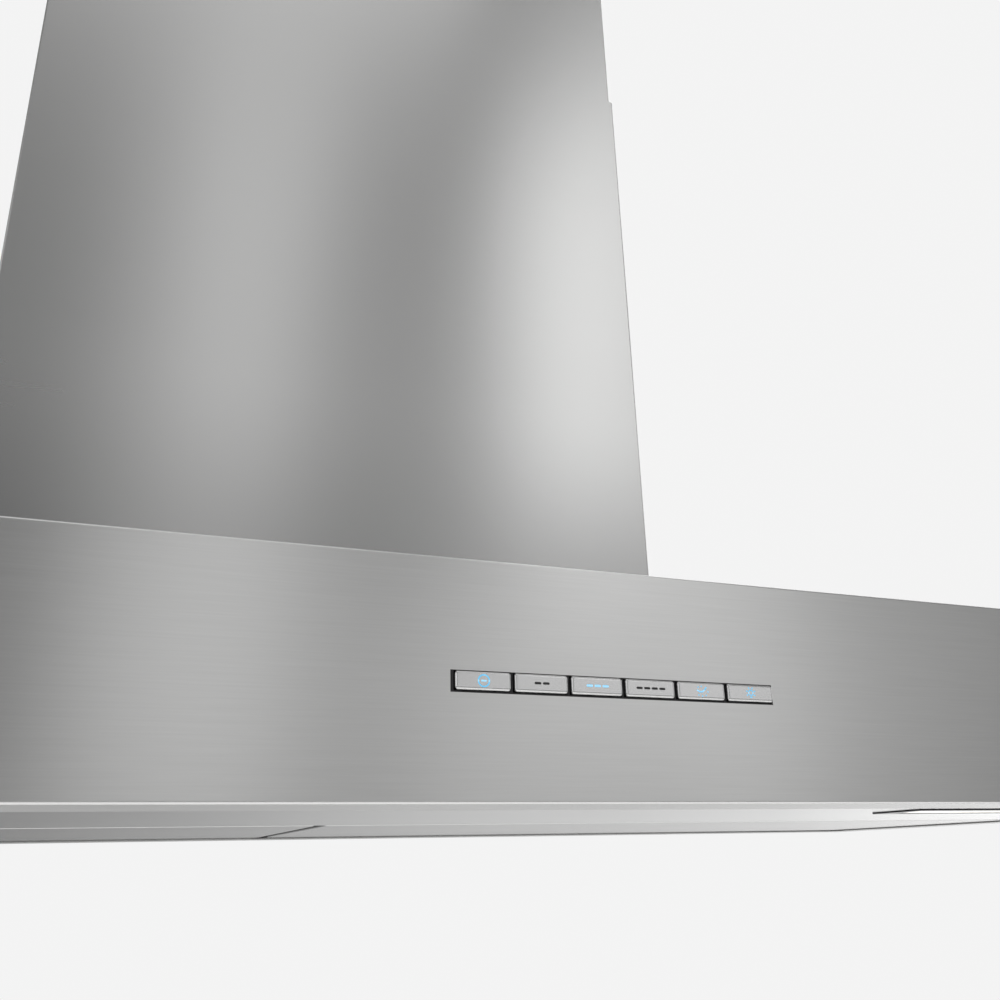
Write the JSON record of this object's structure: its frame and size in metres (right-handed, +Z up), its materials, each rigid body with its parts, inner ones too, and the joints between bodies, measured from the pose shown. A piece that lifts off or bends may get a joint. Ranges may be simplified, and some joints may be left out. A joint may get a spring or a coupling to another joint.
{
  "type": "wall mount range hood",
  "caption": "Flat-front brushed steel wall range hood with push-button strip, telescopic rectangular chimney, drop-down suction panels, underside lamps and an inner blower with damper.",
  "frame": {"origin": "on the wall plane, at the centre of the four wall bolt holes in the rear panel, half way up the canopy", "axes": "+X to the right seen from the front, +Y into the wall along the wall bolts, +Z up along the chimney"},
  "size_m": [1.2, 0.4916, 0.861],
  "materials": {
    "stainless_brushed": "satin",
    "stainless_polished": "gloss",
    "button_steel": "satin",
    "icon_lit": "satin",
    "icon_dark": "matte",
    "galvanised": "satin",
    "black_plastic": "matte",
    "grey_plastic": "matte",
    "circuit_board": "satin",
    "aluminium_plain": "satin",
    "lamp_glass": "satin",
    "led_white": "satin",
    "motor_paint": "satin",
    "dark_trim": "gloss",
    "zinc_screw": "gloss",
    "rubber_black": "matte"
  },
  "bodies": {
    "hood": {"canopy_shell": "stainless_brushed", "rear_panel": "galvanised", "light_panel": "stainless_polished", "filter_divider": "stainless_polished", "filter_hinge_brackets": "galvanised", "filter_catches": "zinc_screw", "control_carrier": "black_plastic", "control_board": "circuit_board", "push_switches": "black_plastic", "control_fixings": "zinc_screw", "lamp_left_bezel": "dark_trim", "lamp_right_bezel": "dark_trim", "lamp_left_lens": "lamp_glass", "lamp_right_lens": "lamp_glass", "lamp_led_boards": "led_white", "lamp_heat_sinks": "aluminium_plain", "blower_box": "galvanised", "scroll_left": "grey_plastic", "scroll_right": "grey_plastic", "outlet_gasket": "rubber_black", "motor_body": "motor_paint", "motor_bearings": "zinc_screw", "motor_bracket": "galvanised", "duct_collar": "galvanised", "damper_rod": "zinc_screw", "power_box": "grey_plastic", "power_box_lid": "grey_plastic", "power_board": "circuit_board", "motor_capacitor": "aluminium_plain", "cable_bushing": "black_plastic", "chimney_lower_cover": "stainless_brushed", "body_screws": "zinc_screw"},
    "button_1": {"button_1_cap": "button_steel", "button_1_icon": "icon_lit"},
    "button_2": {"button_2_cap": "button_steel", "button_2_icon": "icon_dark"},
    "button_3": {"button_3_cap": "button_steel", "button_3_icon": "icon_lit"},
    "button_4": {"button_4_cap": "button_steel", "button_4_icon": "icon_dark"},
    "button_5": {"button_5_cap": "button_steel", "button_5_icon": "icon_lit"},
    "button_6": {"button_6_cap": "button_steel", "button_6_icon": "icon_lit"},
    "filter_left": {"filter_left_panel": "stainless_polished", "filter_left_frame": "stainless_polished", "filter_left_baffles": "stainless_brushed", "filter_left_pins": "zinc_screw"},
    "filter_right": {"filter_right_panel": "stainless_polished", "filter_right_frame": "stainless_polished", "filter_right_baffles": "stainless_brushed", "filter_right_pins": "zinc_screw"},
    "upper_cover": {"chimney_upper_cover": "stainless_brushed", "upper_wall_bracket": "galvanised", "bracket_screws": "zinc_screw"},
    "fan_rotor": {"motor_shaft": "zinc_screw", "impeller_hub": "aluminium_plain", "impeller_wheel": "grey_plastic"},
    "flap_left": {"damper_flap_left": "aluminium_plain"},
    "flap_right": {"damper_flap_right": "aluminium_plain"}
  },
  "joints": [
    {"name": "button_1_press", "type": "slide", "parent": "hood", "child": "button_1", "axis": [0, 1, 0], "range_m": [0, 0.001], "stiffness_N_per_m": 900},
    {"name": "button_2_press", "type": "slide", "parent": "hood", "child": "button_2", "axis": [0, 1, 0], "range_m": [0, 0.001], "stiffness_N_per_m": 900},
    {"name": "button_3_press", "type": "slide", "parent": "hood", "child": "button_3", "axis": [0, 1, 0], "range_m": [0, 0.001], "stiffness_N_per_m": 900},
    {"name": "button_4_press", "type": "slide", "parent": "hood", "child": "button_4", "axis": [0, 1, 0], "range_m": [0, 0.001], "stiffness_N_per_m": 900},
    {"name": "button_5_press", "type": "slide", "parent": "hood", "child": "button_5", "axis": [0, 1, 0], "range_m": [0, 0.001], "stiffness_N_per_m": 900},
    {"name": "button_6_press", "type": "slide", "parent": "hood", "child": "button_6", "axis": [0, 1, 0], "range_m": [0, 0.001], "stiffness_N_per_m": 900},
    {"name": "filter_left_drop", "type": "hinge", "parent": "hood", "child": "filter_left", "pos_m": [-0.282, -0.042, -0.036], "axis": [1, 0, 0], "range_deg": [0, 75]},
    {"name": "filter_right_drop", "type": "hinge", "parent": "hood", "child": "filter_right", "pos_m": [0.282, -0.042, -0.036], "axis": [1, 0, 0], "range_deg": [0, 75]},
    {"name": "upper_cover_slide", "type": "slide", "parent": "hood", "child": "upper_cover", "axis": [0, 0, 1], "range_m": [-0.25, 0.12]},
    {"name": "fan_spin", "type": "hinge", "parent": "hood", "child": "fan_rotor", "pos_m": [0, -0.153, 0.15], "axis": [1, 0, 0], "continuous": true},
    {"name": "flap_left_swing", "type": "hinge", "parent": "hood", "child": "flap_left", "pos_m": [0, -0.153, 0.305], "axis": [0, 1, 0], "range_deg": [0, 78]},
    {"name": "flap_right_swing", "type": "hinge", "parent": "hood", "child": "flap_right", "pos_m": [0, -0.153, 0.305], "axis": [0, -1, 0], "range_deg": [0, 78]}
  ]
}
